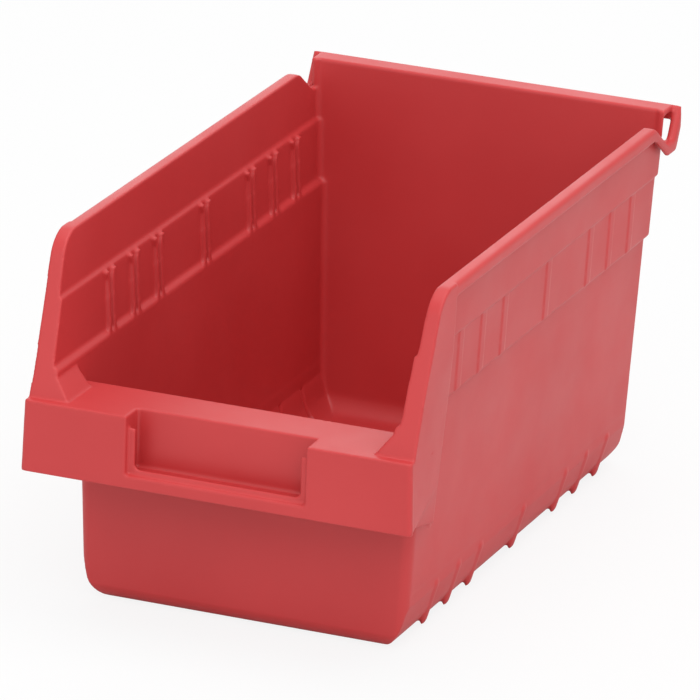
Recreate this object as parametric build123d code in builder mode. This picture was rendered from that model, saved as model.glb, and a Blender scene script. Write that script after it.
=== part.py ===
"""Shelf bin: one hopper-front plastic moulding, written as the zones it is made of.

X is the width, Y the length with the open front at -Y, Z up. The origin is under
the middle of the bin, on the surface it stands on. Lengths are in millimetres.
Distances called "deep" are measured back from the front face of the lip.
"""
from build123d import *
import os

os.makedirs("parts", exist_ok=True)

# Overall sizes
LENGTH = 295.3
HEIGHT = 156.5
WALL = 2.3
SKIN = 2.0

# Tub walls, as outer half widths and depths at the ground and at the lip
TUB_HALF_GROUND = 70.2
TUB_HALF_LIP = 74.1
TUB_HALF_TOP = TUB_HALF_LIP + 0.3
FRONT_DEEP_GROUND = 31.2
FRONT_DEEP_LIP = 31.0
REAR_GAP_TOP = 7.8
REAR_SLOPE = 0.0522
CORNER_RADIUS = 4.6
FOOT_CURVE = ((57.5, 0.0), (61.5, 0.8), (65.5, 4.5), (68.2, 9.0), (70.1, 16.0), (71.1, 24.0))
FOOT_STEPS = (0.0, 0.15, 0.3, 0.45, 0.6, 0.8, 1.0)
FOOT_HALF = 56.0
FOOT_RADIUS_FRONT = 9.0
FOOT_RADIUS_REAR = 11.3
END_HALF = 66.0
PANEL_RECESS = 0.4
PANEL_MARGIN = 9.0

# Side walls above the tub: two ledges step them outwards, and each part leans out
LEDGE_WIDTH = 2.2
STEP_WIDTH = 1.3
BAND_LEAN = 1.1
UPPER_LEAN = 1.3
BAND_HALF_FOOT = TUB_HALF_TOP + LEDGE_WIDTH
BAND_HALF_TOP = BAND_HALF_FOOT + BAND_LEAN
UPPER_HALF_FOOT = BAND_HALF_TOP + STEP_WIDTH
UPPER_HALF_TOP = UPPER_HALF_FOOT + UPPER_LEAN
LEDGE_OUT_LOW = 100.5
LEDGE_OUT_HIGH = 102.5
STEP_OUT_LOW = 128.0
STEP_OUT_HIGH = 129.0
LEDGE_LIFT = 2.3
STEP_LIFT = 1.9
STEP_INNER_Z = STEP_OUT_LOW + STEP_LIFT
BAND_SPLIT_Z = 101.6
UPPER_SPLIT_Z = 129.6

# Divider slots: a groove between two low ribs that rise from the lower ledge
SLOT_MIDDLE_DEEP = 159.7
SLOT_OFFSETS = (-96.0, -72.0, -48.0, 0.0, 48.0, 72.0, 96.0)
SLOT_GROOVE = 2.4
SLOT_PAD = 6.4
SLOT_FOOT = 8.4
SLOT_MOUTH_HIGH = 4.5
SLOT_MOUTH_GROOVE = 5.0
SLOT_MOUTH_PAD = 10.0
SLOT_PROUD_TOP = 1.5
RIB_WIDTH = 5.0
RIB_PROUD = 0.5

# Divider pockets at the foot of the walls
POCKET_RADIUS = 3.0
POCKET_BORE = 1.6
POCKET_TOP = (68.4, 18.5)
POCKET_FOOT = (64.2, 4.3)

# Rim rail: down the hopper, along the top, through the notch and up to the hanging lip
RIM_Z = HEIGHT - 1.8
RIM_OVERHANG = 3.5
RIM_OUTER_HALF = UPPER_HALF_TOP + RIM_OVERHANG
RIM_THICK = 2.5
RIM_SKIRT = 5.5
RIM_SKIRT_THICK = 1.9
RIM_EDGE_RADIUS = 2.2
RIM_SPARE = 10.0
HOPPER_FOOT_DEEP = 4.7
HOPPER_TOP_DEEP = 27.6
HOPPER_RADIUS = 14.0
CREST_DEEP = 266.0
CREST_RADIUS = 10.0
NOTCH_DEEP = 281.0
NOTCH_LENGTH = 6.5
NOTCH_DROP = 11.0
NOTCH_RADIUS = 2.5
HANGER_RISE = 1.857
REAR_FREE_DEEP = 284.0

# Cheeks beside the hopper
CHEEK_MID_DEEP = 42.0
CHEEK_REAR_DEEP = 51.0
CHEEK_MID_HALVES = (77.0, 80.3, 81.0, 81.2, 83.2)
CHEEK_REAR_FOOT_HALF = 72.7
CHEEK_MID_DROP = 9.0
CHEEK_REAR_DROP = 14.0

# Front lip, the gussets at its ends, and its label holder
LIP_Z = 92.2
LIP_FOOT_Z = 62.2
LIP_HALF_FOOT = RIM_OUTER_HALF + 0.35
LIP_HALF_TOP = RIM_OUTER_HALF - 0.5
LIP_SETBACK = 0.6
LIP_CORNER = 2.0
GUSSET_WIDTH = 7.5
GUSSET_HIGH = 11.5
GUSSET_DEEP = 27.0
LABEL_HALF = 38.6
LABEL_FOOT_Z = 67.6
LABEL_DEEP = 12.0
LABEL_WALL = 1.8
FRAME_DEEP = 2.6
FRAME_THICK = 1.6
FRAME_ARM = 3.1
FRAME_FOOT = 2.0
FRAME_ARM_Z = 86.8
FRAME_RADIUS = 2.4

# Hanging lip behind the rear wall
HANGER_HALF = RIM_OUTER_HALF - 3.8
HANGER_DROP = 6.4

SIDE = 140.0
FAR = 400.0


def y_at(deep):
    """Y of a place this far behind the front face of the lip."""
    return deep - LENGTH / 2


def rear_deep(z):
    """Depth of the outer face of the leaning rear wall."""
    return LENGTH - REAR_GAP_TOP - REAR_SLOPE * (HEIGHT - z)


def save(piece, name):
    """Label one finished zone and write its file."""
    piece.label = name
    export_step(piece, f"parts/{name}.step")


def block(x_low, x_high, deep_low, deep_high, z_low, z_high):
    """Box between two places on each axis."""
    centre = ((x_low + x_high) / 2, y_at((deep_low + deep_high) / 2), (z_low + z_high) / 2)
    with BuildPart() as box:
        with Locations(centre):
            Box(x_high - x_low, deep_high - deep_low, z_high - z_low)
    return box.part


def layer(z_low, z_high, half_low, half_high, front_low, front_high, inset):
    """Slice of the tub between two heights, with rounded upright corners."""
    with BuildPart() as slice_part:
        for z, half, front in ((z_low, half_low, front_low), (z_high, half_high, front_high)):
            near = front + inset
            far = rear_deep(z) - inset
            with BuildSketch(Plane.XY.offset(z)):
                with Locations((0, y_at((near + far) / 2))):
                    RectangleRounded(2 * (half - inset), far - near, CORNER_RADIUS - inset)
        loft(ruled=True)
    return slice_part.part


def foot_solid(inset):
    """Everything above the rounded foot of the tub."""
    top = 2 * HEIGHT
    front = y_at(FRONT_DEEP_GROUND - 0.3)
    rear = y_at(rear_deep(FOOT_RADIUS_REAR))
    front_r = FOOT_RADIUS_FRONT
    rear_r = FOOT_RADIUS_REAR
    with BuildPart() as foot:
        with BuildSketch(Plane.XZ):
            with BuildLine():
                guide = Spline(*FOOT_CURVE, tangents=((1, 0), (0.04, 1)), mode=Mode.PRIVATE)
                square = [Vector(-(guide % t).Y, (guide % t).X) * inset for t in FOOT_STEPS]
                points = [guide @ t + shift for t, shift in zip(FOOT_STEPS, square)]
                curve = Spline(*points, tangents=(guide % 0, guide % 1))
                end = curve @ 1
                Polyline(
                    end, (end.X + 30, end.Y), (end.X + 30, top), (0, top), (0, inset), curve @ 0,
                )
            make_face()
            mirror(about=Plane.YZ)
        extrude(amount=FAR, both=True)
        with BuildSketch(Plane.YZ):
            with BuildLine():
                CenterArc((front + front_r, front_r), front_r - inset, 180, 90)
                Line((front + front_r, inset), (rear - rear_r, inset))
                CenterArc((rear - rear_r, rear_r), rear_r - inset, -90, 90)
                Polyline(
                    (rear - inset, rear_r), (rear + 30, rear_r), (rear + 30, top),
                    (front - 90, top), (front - 90, front_r), (front + inset, front_r),
                )
            make_face()
        extrude(amount=FAR, both=True, mode=Mode.INTERSECT)
    return foot.part


def tub_solid(inset, lift):
    """Tub with its stepped side walls: the outside, or the inside when inset."""
    ledge = LEDGE_LIFT * lift
    step = STEP_LIFT * lift
    with BuildPart() as tub:
        add(layer(0, LIP_Z, TUB_HALF_GROUND, TUB_HALF_LIP, FRONT_DEEP_GROUND, FRONT_DEEP_LIP, inset))
        add(foot_solid(inset), mode=Mode.INTERSECT)
        for z_low, z_high, half_low, half_high in (
            (LIP_Z, LEDGE_OUT_LOW + ledge, TUB_HALF_LIP, TUB_HALF_TOP),
            (LEDGE_OUT_LOW + ledge, LEDGE_OUT_HIGH + ledge, TUB_HALF_TOP, BAND_HALF_FOOT),
            (LEDGE_OUT_HIGH + ledge, STEP_OUT_LOW + step, BAND_HALF_FOOT, BAND_HALF_TOP),
            (STEP_OUT_LOW + step, STEP_OUT_HIGH + step, BAND_HALF_TOP, UPPER_HALF_FOOT),
            (STEP_OUT_HIGH + step, HEIGHT, UPPER_HALF_FOOT, UPPER_HALF_TOP),
        ):
            add(layer(z_low, z_high, half_low, half_high, -20, -20, inset))
    return tub.part


def rim_line_solid(lower, spare=0):
    """Right half of everything under the line of the rim, with spare length behind it."""
    top = RIM_Z - lower
    slope = (HOPPER_TOP_DEEP - HOPPER_FOOT_DEEP) / (RIM_Z - LIP_Z)
    shift = lower * (1 + slope**2) ** 0.5
    foot = (y_at(HOPPER_FOOT_DEEP + shift - slope * 60), LIP_Z - 60)
    corner = (y_at(HOPPER_TOP_DEEP + shift - slope * lower), top)
    crest = (y_at(CREST_DEEP), top)
    notch = (y_at(NOTCH_DEEP), top - NOTCH_DROP)
    rise = (y_at(NOTCH_DEEP + NOTCH_LENGTH + 0.55 * lower), top - NOTCH_DROP)
    end = y_at(LENGTH + spare)
    rear = (end, rise[1] + HANGER_RISE * (end - rise[0]))
    with BuildPart() as under:
        with BuildSketch(Plane.YZ):
            with BuildLine():
                Polyline(
                    foot, corner, crest, notch, rise, rear, (rear[0], -1), (foot[0], -1), foot,
                )
            make_face()
            for place, radius in (
                (corner, HOPPER_RADIUS - lower), (crest, CREST_RADIUS),
                (notch, NOTCH_RADIUS), (rise, NOTCH_RADIUS),
            ):
                fillet(vertices().sort_by_distance(Vector(*place))[0], radius)
        extrude(amount=SIDE)
        add(block(-1, SIDE + 1, -60, LENGTH + spare, -1, HEIGHT + 4 * spare), mode=Mode.INTERSECT)
    return under.part


def cheek_block(inset):
    """Body of the right cheek: it runs from the lip's end back into the stepped wall."""
    heights = (
        LIP_FOOT_Z - inset, LIP_Z, LEDGE_OUT_LOW, LEDGE_OUT_HIGH,
        STEP_OUT_LOW, STEP_OUT_HIGH, RIM_Z,
    )
    near = RIM_OUTER_HALF - 0.6
    front = (LIP_HALF_FOOT, LIP_HALF_TOP, near, near, near, near, RIM_OUTER_HALF)
    middle = (*CHEEK_MID_HALVES, near, RIM_OUTER_HALF)
    rear = (
        CHEEK_REAR_FOOT_HALF, TUB_HALF_LIP, TUB_HALF_TOP, BAND_HALF_FOOT,
        BAND_HALF_TOP, UPPER_HALF_FOOT, UPPER_HALF_TOP,
    )
    sections = (
        (0.0, front, 0.0), (CHEEK_MID_DEEP, middle, CHEEK_MID_DROP),
        (CHEEK_REAR_DEEP, rear, CHEEK_REAR_DROP),
    )
    with BuildPart() as cheek:
        for deep, halves, drop in sections:
            outline = [(half - inset, z) for half, z in zip(halves, heights)]
            outline[0] = (outline[0][0], outline[0][1] - drop)
            outline += [(50, RIM_Z), (50, heights[0] - drop)]
            with BuildSketch(Plane.XZ.offset(-y_at(deep))):
                with BuildLine():
                    Polyline(outline, close=True)
                make_face()
        loft(ruled=True)
    return cheek.part


def mirrored(part):
    """The same solid on the other side of the bin."""
    with BuildPart() as other:
        add(part)
        mirror(about=Plane.YZ, mode=Mode.REPLACE)
    return other.part


# The whole tub as a shell, before it is divided
outside = tub_solid(0, 0)
inside = tub_solid(WALL, 1)

with BuildPart() as shell:
    add(outside)
    add(inside, mode=Mode.SUBTRACT)

FRONT_SPLIT = FRONT_DEEP_GROUND - 0.3 + FOOT_RADIUS_FRONT
REAR_SPLIT = rear_deep(FOOT_RADIUS_REAR) - FOOT_RADIUS_REAR
SHELF_LOW = LIP_Z - WALL
SHELF_DEEP = FRONT_DEEP_LIP + WALL
front_zone = block(-END_HALF, END_HALF, 20, FRONT_SPLIT, -1, SHELF_LOW)
rear_zone = block(-END_HALF, END_HALF, REAR_SPLIT, LENGTH, -1, HEIGHT)
rear_top_zone = block(-SIDE, SIDE, REAR_FREE_DEEP, LENGTH, UPPER_SPLIT_Z, HEIGHT)
shelf_zone = block(-SIDE, SIDE, -1, SHELF_DEEP, SHELF_LOW, LIP_Z)

# Floor, with the shallow panel in its upper face
with BuildPart() as floor_panel:
    add(shell.part)
    add(block(-FOOT_HALF, FOOT_HALF, FRONT_SPLIT, REAR_SPLIT, -1, 5), mode=Mode.INTERSECT)
    add(
        block(
            PANEL_MARGIN - FOOT_HALF, FOOT_HALF - PANEL_MARGIN, FRONT_SPLIT + PANEL_MARGIN,
            REAR_SPLIT - PANEL_MARGIN, WALL - PANEL_RECESS, 5,
        ),
        mode=Mode.SUBTRACT,
    )
save(floor_panel.part, "floor_panel")

# Front wall under the lip, and the full height rear wall
with BuildPart() as front_wall:
    add(shell.part)
    add(front_zone, mode=Mode.INTERSECT)
save(front_wall.part, "front_wall")

with BuildPart() as rear_zones:
    add(rear_zone)
    add(rear_top_zone)
with BuildPart() as rear_wall:
    add(shell.part)
    add(rear_zones.part, mode=Mode.INTERSECT)
save(rear_wall.part, "rear_wall")

# Right side of the rim, the cheek and the walls; the left side is their mirror image
under_rim = rim_line_solid(0)
under_rail = rim_line_solid(RIM_THICK)
with BuildPart() as rail:
    add(under_rim)
    add(under_rail, mode=Mode.SUBTRACT)
    add(inside, mode=Mode.SUBTRACT)

with BuildPart() as rim_solid:
    add(rim_line_solid(0, RIM_SPARE))
    add(
        block(0, RIM_OUTER_HALF, CHEEK_MID_DEEP, LENGTH + RIM_SPARE, LIP_Z, 2 * HEIGHT),
        mode=Mode.INTERSECT,
    )
    outer_edges = edges().filter_by(lambda e: abs(e.center().X - RIM_OUTER_HALF) < 0.01)
    high_edges = outer_edges.filter_by(lambda e: e.center().Z > LIP_Z + 40)
    fillet(high_edges.filter_by(lambda e: abs(e.tangent_at(0.5).Y) > 0.1), RIM_EDGE_RADIUS)

with BuildPart() as full_rim:
    add(under_rim)
    add(rim_line_solid(RIM_SKIRT), mode=Mode.SUBTRACT)
    add(
        block(RIM_OUTER_HALF - RIM_SKIRT_THICK, SIDE, 0, LENGTH, 0, HEIGHT),
        mode=Mode.INTERSECT,
    )
    add(rail.part)
    add(rim_solid.part, mode=Mode.INTERSECT)
    add(block(END_HALF, SIDE, CHEEK_MID_DEEP, LENGTH, LIP_Z, HEIGHT), mode=Mode.INTERSECT)

with BuildPart() as rim_flange:
    add(full_rim.part)
    add(block(0, SIDE, 0, REAR_FREE_DEEP, 0, HEIGHT), mode=Mode.INTERSECT)

with BuildPart() as hanger_end:
    add(full_rim.part)
    add(block(0, SIDE, REAR_FREE_DEEP, LENGTH, 0, HEIGHT), mode=Mode.INTERSECT)
    add(outside, mode=Mode.SUBTRACT)
    add(block(0, HANGER_HALF, REAR_FREE_DEEP, LENGTH, 0, HEIGHT), mode=Mode.SUBTRACT)

with BuildPart() as hopper_edge:
    add(rail.part)
    add(cheek_block(0), mode=Mode.INTERSECT)
    add(block(END_HALF, SIDE, 0, CHEEK_MID_DEEP, LIP_Z, HEIGHT), mode=Mode.INTERSECT)

with BuildPart() as under_cheek:
    add(under_rail)
    add(block(0, SIDE, 0, SHELF_DEEP, 0, LIP_Z))

with BuildPart() as hopper_cheek:
    add(cheek_block(0))
    add(cheek_block(SKIN), mode=Mode.SUBTRACT)
    add(outside, mode=Mode.SUBTRACT)
    add(under_cheek.part, mode=Mode.INTERSECT)
    add(full_rim.part, mode=Mode.SUBTRACT)
    add(block(END_HALF, SIDE, WALL, CHEEK_REAR_DEEP, 0, HEIGHT), mode=Mode.INTERSECT)

# Divider slots: pads over the ledge, each with a groove that opens into a lead-in
with BuildPart() as slot_core:
    add(
        layer(
            LEDGE_OUT_LOW, STEP_INNER_Z + 1, TUB_HALF_TOP, BAND_HALF_TOP - SLOT_PROUD_TOP,
            -20, -20, WALL,
        )
    )

with BuildPart() as slot_pads:
    mouth = STEP_INNER_Z - SLOT_MOUTH_HIGH
    foot = LEDGE_OUT_LOW + LEDGE_LIFT
    with BuildSketch(Plane.YZ.offset(END_HALF)):
        with Locations(*[(y_at(SLOT_MIDDLE_DEEP + step), 0) for step in SLOT_OFFSETS]):
            Polygon(
                (-SLOT_FOOT / 2, foot), (SLOT_FOOT / 2, foot), (SLOT_PAD / 2, foot + 4),
                (SLOT_PAD / 2, mouth), (SLOT_MOUTH_PAD / 2, STEP_INNER_Z - 0.5),
                (-SLOT_MOUTH_PAD / 2, STEP_INNER_Z - 0.5), (-SLOT_PAD / 2, mouth),
                (-SLOT_PAD / 2, foot + 4),
                align=None,
            )
            Polygon(
                (-SLOT_GROOVE / 2, foot - 1), (SLOT_GROOVE / 2, foot - 1), (SLOT_GROOVE / 2, mouth),
                (SLOT_MOUTH_GROOVE / 2, STEP_INNER_Z), (-SLOT_MOUTH_GROOVE / 2, STEP_INNER_Z),
                (-SLOT_GROOVE / 2, mouth),
                align=None,
                mode=Mode.SUBTRACT,
            )
    extrude(amount=30)
    add(inside, mode=Mode.INTERSECT)
    add(slot_core.part, mode=Mode.SUBTRACT)

with BuildPart() as slot_ribs:
    with BuildSketch(Plane.YZ.offset(END_HALF)):
        with Locations(*[(y_at(SLOT_MIDDLE_DEEP + step), STEP_OUT_LOW) for step in SLOT_OFFSETS]):
            Rectangle(RIB_WIDTH, STEP_OUT_LOW - LEDGE_OUT_HIGH, align=(Align.CENTER, Align.MAX))
    extrude(amount=30)
    add(Pos(RIB_PROUD, 0, 0) * outside, mode=Mode.INTERSECT)
    add(outside, mode=Mode.SUBTRACT)

# Pockets: leaning half-round columns on the foot curve, each with a bore open inwards
foot_x, foot_z = POCKET_FOOT
top_x, top_z = POCKET_TOP
pocket_places = [y_at(SLOT_MIDDLE_DEEP + step) for step in SLOT_OFFSETS]
with BuildPart() as pocket_bores:
    for place in pocket_places:
        axis = Plane(
            origin=(foot_x, place, foot_z),
            z_dir=(top_x - foot_x, 0, top_z - foot_z),
        )
        length = ((top_x - foot_x) ** 2 + (top_z - foot_z) ** 2) ** 0.5
        with Locations(axis.location):
            Cylinder(POCKET_BORE, length, align=(Align.CENTER, Align.CENTER, Align.MIN))

with BuildPart() as pocket_ribs:
    for place in pocket_places:
        axis = Plane(
            origin=(foot_x, place, foot_z),
            z_dir=(top_x - foot_x, 0, top_z - foot_z),
        )
        with Locations(axis.location):
            Cylinder(POCKET_RADIUS, length, align=(Align.CENTER, Align.CENTER, Align.MIN))
            Sphere(POCKET_RADIUS)
        with Locations((top_x, place, top_z)):
            Sphere(POCKET_RADIUS)
    add(outside, mode=Mode.SUBTRACT)
    add(block(0, SIDE, 0, FAR, 0, FAR), mode=Mode.INTERSECT)

# Side walls, divided at the two ledges
with BuildPart() as side_zone:
    add(shell.part)
    add(block(FOOT_HALF, SIDE, 0, LENGTH, -1, HEIGHT), mode=Mode.INTERSECT)
    add(front_zone, mode=Mode.SUBTRACT)
    add(rear_zones.part, mode=Mode.SUBTRACT)
    add(shelf_zone, mode=Mode.SUBTRACT)
    add(under_rail, mode=Mode.INTERSECT)
    add(pocket_bores.part, mode=Mode.SUBTRACT)

with BuildPart() as lower_wall:
    add(side_zone.part)
    add(block(0, SIDE, 0, LENGTH, -1, BAND_SPLIT_Z), mode=Mode.INTERSECT)

with BuildPart() as slot_band:
    add(side_zone.part)
    add(slot_pads.part)
    add(slot_ribs.part)
    add(block(0, SIDE, 0, LENGTH, BAND_SPLIT_Z, UPPER_SPLIT_Z), mode=Mode.INTERSECT)

with BuildPart() as upper_band:
    add(side_zone.part)
    add(block(0, SIDE, 0, LENGTH, UPPER_SPLIT_Z, HEIGHT), mode=Mode.INTERSECT)

# Gusset between the wall and the top of the lip
with BuildPart() as lip_gusset:
    wall_half = TUB_HALF_TOP - WALL
    with BuildSketch(Plane.XZ.offset(-y_at(0))):
        with BuildLine():
            Polyline(
                (wall_half - GUSSET_WIDTH + 1, LIP_Z), (wall_half + LEDGE_WIDTH, LIP_Z + GUSSET_HIGH),
                (SIDE, LIP_Z + GUSSET_HIGH), (SIDE, LIP_Z), close=True,
            )
        make_face()
    extrude(amount=-GUSSET_DEEP)
    add(inside, mode=Mode.INTERSECT)
    add(under_rim, mode=Mode.INTERSECT)

right_pieces = {
    "rim_flange": rim_flange.part,
    "hopper_edge": hopper_edge.part,
    "hopper_cheek": hopper_cheek.part,
    "lower_wall": lower_wall.part,
    "slot_band": slot_band.part,
    "upper_band": upper_band.part,
    "pocket_ribs": pocket_ribs.part,
    "hanger_end": hanger_end.part,
    "lip_gusset": lip_gusset.part,
}
for name, piece in right_pieces.items():
    save(piece, f"{name}_right")
    save(mirrored(piece), f"{name}_left")

with BuildPart() as hanger_flange:
    add(block(-HANGER_HALF, HANGER_HALF, REAR_FREE_DEEP, LENGTH, HEIGHT - WALL, HEIGHT))
    add(block(-HANGER_HALF, HANGER_HALF, LENGTH - WALL, LENGTH, HEIGHT - HANGER_DROP, HEIGHT))
    add(outside, mode=Mode.SUBTRACT)
save(hanger_flange.part, "hanger_flange")

# Lip: upright face with the label opening, and the shelf behind it
with BuildPart() as lip_face:
    with BuildSketch(Plane.XY.offset(LIP_FOOT_Z)):
        with Locations((0, y_at(WALL / 2))):
            Rectangle(2 * LIP_HALF_FOOT, WALL)
    with BuildSketch(Plane.XY.offset(LIP_Z)):
        with Locations((0, y_at((WALL + LIP_SETBACK) / 2))):
            Rectangle(2 * LIP_HALF_TOP, WALL - LIP_SETBACK)
    loft(ruled=True)
    front_edges = edges().filter_by(lambda e: e.center().Y < y_at(LIP_SETBACK) + 0.01)
    fillet(front_edges.filter_by(lambda e: e.length < 40), radius=LIP_CORNER)
    add(block(-LABEL_HALF, LABEL_HALF, -1, 5, LABEL_FOOT_Z, 100), mode=Mode.SUBTRACT)
save(lip_face.part, "lip_face")

with BuildPart() as lip_shelf:
    add(block(-SIDE, SIDE, WALL, SHELF_DEEP, SHELF_LOW, LIP_Z))
    add(cheek_block(SKIN), mode=Mode.INTERSECT)
    add(mirrored(lip_shelf.part))
    add(block(-60, 60, WALL, SHELF_DEEP, SHELF_LOW, LIP_Z))
    add(inside, mode=Mode.SUBTRACT)
    add(block(-LABEL_HALF, LABEL_HALF, -1, LABEL_DEEP, SHELF_LOW, 100), mode=Mode.SUBTRACT)
save(lip_shelf.part, "lip_shelf")

# Label holder: the pocket behind the opening, and the frame that keeps the card in
with BuildPart() as label_pocket:
    add(
        block(
            -LABEL_HALF - LABEL_WALL, LABEL_HALF + LABEL_WALL, WALL, LABEL_DEEP + LABEL_WALL,
            LABEL_FOOT_Z - LABEL_WALL, SHELF_LOW,
        )
    )
    add(
        block(-LABEL_HALF, LABEL_HALF, -1, LABEL_DEEP, LABEL_FOOT_Z, 100),
        mode=Mode.SUBTRACT,
    )
save(label_pocket.part, "label_pocket")

with BuildPart() as label_frame:
    with BuildSketch(Plane.XZ.offset(-y_at(FRAME_DEEP))):
        with Locations((0, LABEL_FOOT_Z)):
            Rectangle(2 * LABEL_HALF, FRAME_ARM_Z - LABEL_FOOT_Z, align=(Align.CENTER, Align.MIN))
        with Locations((0, LABEL_FOOT_Z + FRAME_FOOT)):
            Rectangle(
                2 * (LABEL_HALF - FRAME_ARM), FRAME_ARM_Z, align=(Align.CENTER, Align.MIN),
                mode=Mode.SUBTRACT,
            )
        inner = vertices().filter_by(lambda v: abs(v.Y - LABEL_FOOT_Z - FRAME_FOOT) < 0.01)
        fillet(inner, FRAME_RADIUS)
    extrude(amount=-FRAME_THICK)
save(label_frame.part, "label_frame")
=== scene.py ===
# %% [markdown]
# # A plastic shelf bin
# The real bin is one injection moulding: a tub with a cut-away hopper front, a deep
# front lip with a label holder, slots for dividers and a lip at the back that hangs
# on a rail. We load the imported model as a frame, and everything we make sits on it.

# %% Load the frame
import bpy
import bmesh
from math import radians
from mathutils import Matrix, Vector


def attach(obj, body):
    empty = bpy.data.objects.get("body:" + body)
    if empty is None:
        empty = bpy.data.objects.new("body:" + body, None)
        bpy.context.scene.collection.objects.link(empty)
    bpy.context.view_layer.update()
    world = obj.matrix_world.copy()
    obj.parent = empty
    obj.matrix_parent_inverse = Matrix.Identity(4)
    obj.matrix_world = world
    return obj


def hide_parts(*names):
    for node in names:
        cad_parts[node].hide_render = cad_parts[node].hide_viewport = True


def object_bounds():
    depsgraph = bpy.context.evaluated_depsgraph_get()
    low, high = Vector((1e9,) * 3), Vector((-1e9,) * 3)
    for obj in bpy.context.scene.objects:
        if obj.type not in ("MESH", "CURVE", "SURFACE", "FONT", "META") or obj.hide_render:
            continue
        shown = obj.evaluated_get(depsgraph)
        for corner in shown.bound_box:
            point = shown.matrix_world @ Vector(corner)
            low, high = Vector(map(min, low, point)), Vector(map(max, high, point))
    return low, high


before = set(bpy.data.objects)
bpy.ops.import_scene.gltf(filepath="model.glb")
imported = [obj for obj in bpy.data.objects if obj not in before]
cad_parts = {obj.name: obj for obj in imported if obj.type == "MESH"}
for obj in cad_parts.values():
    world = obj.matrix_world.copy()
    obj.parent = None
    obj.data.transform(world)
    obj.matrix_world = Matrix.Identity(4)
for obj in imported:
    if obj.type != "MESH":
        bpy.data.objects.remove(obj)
cad_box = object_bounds()
scene = bpy.context.scene

# %% [markdown]
# ## Camera
# The bin is seen from its front right, from a little above, by a long lens: its
# edges hardly converge. A camera is a matrix. Its columns are the camera's right,
# its up and the direction behind it, so we write those three down and the place.

# %% Camera
def add_camera(eye, right, up, lens):
    data = bpy.data.cameras.new("camera")
    data.lens = lens
    data.sensor_width = 36.0
    data.clip_start = 0.1
    data.clip_end = 50.0
    camera = bpy.data.objects.new("camera", data)
    scene.collection.objects.link(camera)
    across = Vector(right).normalized()
    behind = across.cross(Vector(up)).normalized()
    above = behind.cross(across)
    turn = Matrix((across, above, behind)).transposed().to_4x4()
    camera.matrix_world = Matrix.Translation(Vector(eye)) @ turn
    return camera


scene.camera = add_camera(
    eye=(1.18169, -2.94910, 1.19270),
    right=(0.92352793, 0.38236638, 0.02986826),
    up=(-0.15250718, 0.29466057, 0.94335397),
    lens=422.5,
)
print("lens", scene.camera.data.lens)

# %% [markdown]
# ## Finish
# The plastic is coloured all through, so it has no paint edge and little wear. What
# the eye sees is a fine even grain from the mould, faint clouds where the melt
# flowed, a slight waviness, and a soft sheen that changes a little from place to
# place. All of them are noises on Object coordinates, which stay on the part when the
# camera moves.

# %% Moulded plastic
def link(tree, source, target):
    tree.links.new(source, target)


def noise_node(tree, scale, detail, where):
    node = tree.nodes.new("ShaderNodeTexNoise")
    node.inputs["Scale"].default_value = scale
    node.inputs["Detail"].default_value = detail
    link(tree, where, node.inputs["Vector"])
    return node


def spread_node(tree, value, low, high):
    node = tree.nodes.new("ShaderNodeMapRange")
    node.inputs["From Min"].default_value = 0.3
    node.inputs["From Max"].default_value = 0.7
    node.inputs["To Min"].default_value = low
    node.inputs["To Max"].default_value = high
    link(tree, value, node.inputs["Value"])
    return node


def moulded_plastic(name, deep_colour, light_colour):
    material = bpy.data.materials.new(name)
    material.use_nodes = True
    tree = material.node_tree
    shader = tree.nodes["Principled BSDF"]
    place = tree.nodes.new("ShaderNodeTexCoord").outputs["Object"]

    clouds = noise_node(tree, 14.0, 3.0, place)
    tint = tree.nodes.new("ShaderNodeValToRGB")
    tint.color_ramp.elements[0].position = 0.35
    tint.color_ramp.elements[0].color = (*deep_colour, 1)
    tint.color_ramp.elements[1].position = 0.65
    tint.color_ramp.elements[1].color = (*light_colour, 1)
    link(tree, clouds.outputs["Fac"], tint.inputs["Fac"])
    link(tree, tint.outputs["Color"], shader.inputs["Base Color"])

    sheen_map = noise_node(tree, 30.0, 4.0, place)
    rough = spread_node(tree, sheen_map.outputs["Fac"], 0.40, 0.50)
    link(tree, rough.outputs["Result"], shader.inputs["Roughness"])

    grain = noise_node(tree, 1600.0, 2.0, place)
    waves = noise_node(tree, 45.0, 1.0, place)
    fine = tree.nodes.new("ShaderNodeBump")
    fine.inputs["Strength"].default_value = 0.10
    fine.inputs["Distance"].default_value = 0.0002
    link(tree, grain.outputs["Fac"], fine.inputs["Height"])
    broad = tree.nodes.new("ShaderNodeBump")
    broad.inputs["Strength"].default_value = 0.06
    broad.inputs["Distance"].default_value = 0.002
    link(tree, waves.outputs["Fac"], broad.inputs["Height"])
    link(tree, fine.outputs["Normal"], broad.inputs["Normal"])
    link(tree, broad.outputs["Normal"], shader.inputs["Normal"])

    shader.inputs["IOR"].default_value = 1.44
    return material


red_plastic = moulded_plastic("red_plastic", (0.505, 0.036, 0.038), (0.535, 0.041, 0.043))
print("finish:", red_plastic.name)

# %% [markdown]
# ## The moulding
# The frame has the bin as zones that meet face to face. On the real bin nothing
# shows where they meet, and every edge has a small radius from the mould. Bevelling
# dozens of meeting corners is slow work. Instead we gather the zones in one mesh and
# let a voxel remesh wrap a new skin round them, which closes the seams. Smoothing
# that skin rounds its edges, and a collapse takes away the faces that flats don't need.

# %% Tools for meshes
def baked(piece):
    """Turns the piece's modifiers into plain mesh."""
    graph = bpy.context.evaluated_depsgraph_get()
    mesh = bpy.data.meshes.new_from_object(piece.evaluated_get(graph))
    piece.modifiers.clear()
    piece.data = mesh
    return mesh


def gathered(name, objects):
    made = bmesh.new()
    for source in objects:
        made.from_mesh(source.data)
    bmesh.ops.remove_doubles(made, verts=made.verts, dist=1e-6)
    mesh = bpy.data.meshes.new(name)
    made.to_mesh(mesh)
    made.free()
    gathering = bpy.data.objects.new(name, mesh)
    scene.collection.objects.link(gathering)
    return gathering


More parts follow.
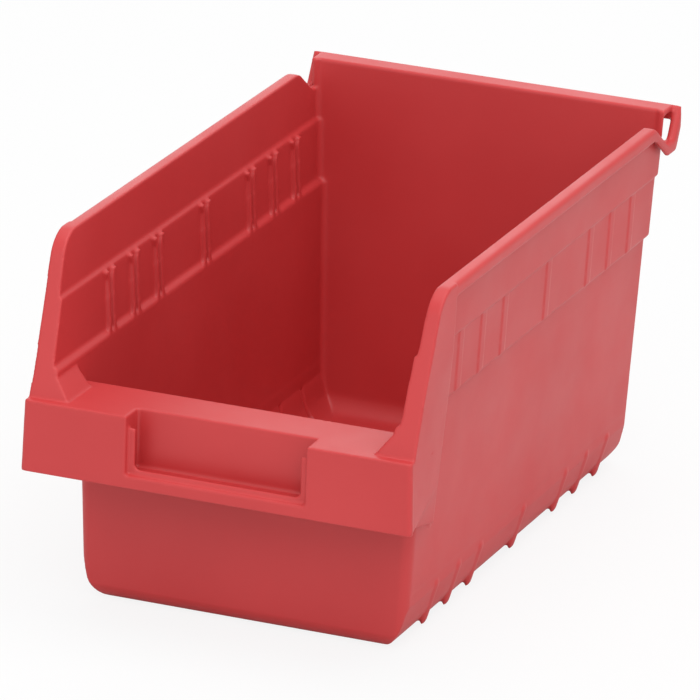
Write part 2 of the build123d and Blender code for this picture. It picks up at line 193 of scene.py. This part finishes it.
# %% [markdown]
# ## The columns at the foot of the walls
# Seven low columns stand at the foot of each side wall, where a divider's edge would
# sit. They are all alike, so a Geometry Nodes group makes one and puts a copy on each
# point of a small mesh. Each copy leans outwards with the wall: the sign of its X
# tells the group which side it is on. The group ends by making the copies real and
# giving them the finish.

# %% Node group for the columns
COLUMN_BREADTH = 0.92


def column_group():
    group = bpy.data.node_groups.new("leaning_columns", "GeometryNodeTree")
    sockets = group.interface
    sockets.new_socket("Geometry", in_out="INPUT", socket_type="NodeSocketGeometry")
    for label in ("Radius", "Length", "Lean", "Flatness"):
        sockets.new_socket(label, in_out="INPUT", socket_type="NodeSocketFloat")
    sockets.new_socket("Finish", in_out="INPUT", socket_type="NodeSocketMaterial")
    sockets.new_socket("Geometry", in_out="OUTPUT", socket_type="NodeSocketGeometry")
    given = group.nodes.new("NodeGroupInput").outputs

    def node(kind, **fed):
        made = group.nodes.new(kind)
        for label, source in fed.items():
            link(group, source, made.inputs[label.replace("_", " ")])
        return made

    shaft = node("GeometryNodeMeshCylinder", Radius=given["Radius"], Depth=given["Length"])
    ball = node("GeometryNodeMeshUVSphere", Radius=given["Radius"])
    both = node("GeometryNodeJoinGeometry")
    link(group, shaft.outputs["Mesh"], both.inputs["Geometry"])
    for share in (0.5, -0.5):
        end = node("ShaderNodeMath")
        end.operation = "MULTIPLY"
        end.inputs[1].default_value = share
        link(group, given["Length"], end.inputs[0])
        up = node("ShaderNodeCombineXYZ", Z=end.outputs["Value"])
        moved = node("GeometryNodeTransform", Geometry=ball.outputs["Mesh"])
        link(group, up.outputs["Vector"], moved.inputs["Translation"])
        link(group, moved.outputs["Geometry"], both.inputs["Geometry"])

    place = node("GeometryNodeInputPosition")
    parts = node("ShaderNodeSeparateXYZ", Vector=place.outputs["Position"])
    side = node("ShaderNodeMath")
    side.operation = "SIGN"
    link(group, parts.outputs["X"], side.inputs[0])
    angle = node("ShaderNodeMath")
    angle.operation = "MULTIPLY"
    link(group, side.outputs["Value"], angle.inputs[0])
    link(group, given["Lean"], angle.inputs[1])
    turn = node("ShaderNodeCombineXYZ", Y=angle.outputs["Value"])
    size = node("ShaderNodeCombineXYZ", X=given["Flatness"])
    size.inputs["Y"].default_value = COLUMN_BREADTH
    size.inputs["Z"].default_value = 1.0

    copies = node(
        "GeometryNodeInstanceOnPoints", Points=given["Geometry"],
        Instance=both.outputs["Geometry"], Rotation=turn.outputs["Vector"],
        Scale=size.outputs["Vector"],
    )
    real = node("GeometryNodeRealizeInstances", Geometry=copies.outputs["Instances"])
    done = node("GeometryNodeSetMaterial", Geometry=real.outputs["Geometry"],
                Material=given["Finish"])
    node("NodeGroupOutput", Geometry=done.outputs["Geometry"])
    return group


def add_columns(name, points, **settings):
    mesh = bpy.data.meshes.new(name)
    mesh.from_pydata(points, [], [])
    columns = bpy.data.objects.new(name, mesh)
    scene.collection.objects.link(columns)
    modifier = columns.modifiers.new("columns", "NODES")
    modifier.node_group = column_group()
    for socket in modifier.node_group.interface.items_tree:
        if socket.in_out == "INPUT" and socket.name in settings:
            modifier[socket.identifier] = settings[socket.name]
    baked(columns)
    return columns


COLUMN_RADIUS = 0.003
COLUMN_LENGTH = 0.0148
COLUMN_LEAN = radians(16.5)
COLUMN_FLATNESS = 0.35
COLUMN_OUT = 0.06817
COLUMN_UP = 0.01085
COLUMN_MIDDLE = 0.01205
COLUMN_STEPS = (-0.096, -0.072, -0.048, 0.0, 0.048, 0.072, 0.096)
column_points = [
    (side * COLUMN_OUT, COLUMN_MIDDLE + step, COLUMN_UP)
    for side in (-1, 1) for step in COLUMN_STEPS
]
columns = add_columns(
    "columns", column_points, Radius=COLUMN_RADIUS, Length=COLUMN_LENGTH,
    Lean=COLUMN_LEAN, Flatness=COLUMN_FLATNESS, Finish=red_plastic,
)
print("columns:", len(column_points), "faces:", len(columns.data.polygons))

# %% Gather the zones
COLUMN_NODES = ("pocket_ribs_left", "pocket_ribs_right")
zones = [piece for name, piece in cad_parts.items() if name not in COLUMN_NODES]
moulding = gathered("moulding", zones + [columns])
bpy.data.objects.remove(columns)
print("gathered faces:", len(moulding.data.polygons))

# %% Wrap one skin round them
VOXEL = 0.0006
SMOOTH_STEPS = 4
SKIN_TRIANGLES = 190000


def wrapped(piece, voxel, smooth_steps, triangles):
    skin = piece.modifiers.new("skin", "REMESH")
    skin.mode = "VOXEL"
    skin.voxel_size = voxel
    round_off = piece.modifiers.new("round_off", "SMOOTH")
    round_off.factor = 0.5
    round_off.iterations = smooth_steps
    count = 2 * len(baked(piece).polygons)
    thin = piece.modifiers.new("thin", "DECIMATE")
    thin.ratio = triangles / count
    baked(piece)
    for face in piece.data.polygons:
        face.use_smooth = True
    return count


before = wrapped(moulding, VOXEL, SMOOTH_STEPS, SKIN_TRIANGLES)
print("skin triangles:", before, "->", len(moulding.data.polygons))

# %% Take the frame's place
moulding.data.materials.clear()
moulding.data.materials.append(red_plastic)
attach(moulding, "root")
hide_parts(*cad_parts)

# %% [markdown]
# ## Studio
# A pale floor, a white surround and large soft lamps on several sides. They soften
# the shade inside the bin, though it stays darker than the outside. One lamp stands
# behind the bin, where the rim can mirror it. The surround is white to the camera
# alone, so the plastic is lit only by the lamps and a plain sky.

# %% Floor
def camera_white(tree, lit_shader, white_share):
    """Shows lit_shader partly covered with plain white, to camera rays alone."""
    rays = tree.nodes.new("ShaderNodeLightPath")
    white = tree.nodes.new("ShaderNodeEmission")
    share = tree.nodes.new("ShaderNodeMath")
    share.operation = "MULTIPLY"
    share.inputs[1].default_value = white_share
    link(tree, rays.outputs["Is Camera Ray"], share.inputs[0])
    mix = tree.nodes.new("ShaderNodeMixShader")
    link(tree, share.outputs["Value"], mix.inputs["Fac"])
    link(tree, lit_shader, mix.inputs[1])
    link(tree, white.outputs["Emission"], mix.inputs[2])
    return mix.outputs["Shader"]


floor_finish = bpy.data.materials.new("pale_floor")
floor_finish.use_nodes = True
floor_tree = floor_finish.node_tree
floor_shader = floor_tree.nodes["Principled BSDF"]
floor_shader.inputs["Base Color"].default_value = (0.72, 0.72, 0.72, 1)
floor_shader.inputs["Roughness"].default_value = 0.9
shown = camera_white(floor_tree, floor_shader.outputs["BSDF"], 0.86)
link(floor_tree, shown, floor_tree.nodes["Material Output"].inputs["Surface"])

floor_mesh = bpy.data.meshes.new("floor")
floor_mesh.from_pydata([(-6, -6, 0), (6, -6, 0), (6, 6, 0), (-6, 6, 0)], [], [(0, 1, 2, 3)])
floor = bpy.data.objects.new("floor", floor_mesh)
floor.location.z = cad_box[0][2] - 0.0002
scene.collection.objects.link(floor)
floor.data.materials.append(floor_finish)

# %% Surround and lamps
world = bpy.data.worlds.new("surround")
scene.world = world
world.use_nodes = True
sky = world.node_tree.nodes["Background"]
sky.inputs["Color"].default_value = (1, 1, 1, 1)
sky.inputs["Strength"].default_value = 0.66
bright = world.node_tree.nodes.new("ShaderNodeBackground")
bright.inputs["Strength"].default_value = 1.0
rays = world.node_tree.nodes.new("ShaderNodeLightPath")
either = world.node_tree.nodes.new("ShaderNodeMixShader")
link(world.node_tree, rays.outputs["Is Camera Ray"], either.inputs["Fac"])
link(world.node_tree, sky.outputs["Background"], either.inputs[1])
link(world.node_tree, bright.outputs["Background"], either.inputs[2])
link(world.node_tree, either.outputs["Shader"], world.node_tree.nodes["World Output"].inputs["Surface"])


def soft_lamp(name, place, target, size, power):
    data = bpy.data.lights.new(name, "AREA")
    data.shape = "SQUARE"
    data.size = size
    data.energy = power
    lamp = bpy.data.objects.new(name, data)
    scene.collection.objects.link(lamp)
    aim = (Vector(target) - Vector(place)).to_track_quat("-Z", "Y")
    lamp.matrix_world = Matrix.Translation(Vector(place)) @ aim.to_matrix().to_4x4()
    return lamp


soft_lamp("overhead", (0.2, 0.1, 2.2), (0, 0, 0.08), 1.8, 24)
soft_lamp("right_side", (2.1, -0.3, 0.9), (0, 0, 0.08), 1.5, 8)
soft_lamp("front_fill", (-0.5, -2.4, 0.9), (0, 0, 0.08), 1.6, 8)
soft_lamp("high_front", (0.9, -1.9, 2.1), (0, 0, 0.08), 1.6, 22)
soft_lamp("rear_card", (-1.0, 2.5, 1.1), (0, 0, 0.12), 2.0, 14)
scene.view_settings.view_transform = "Standard"
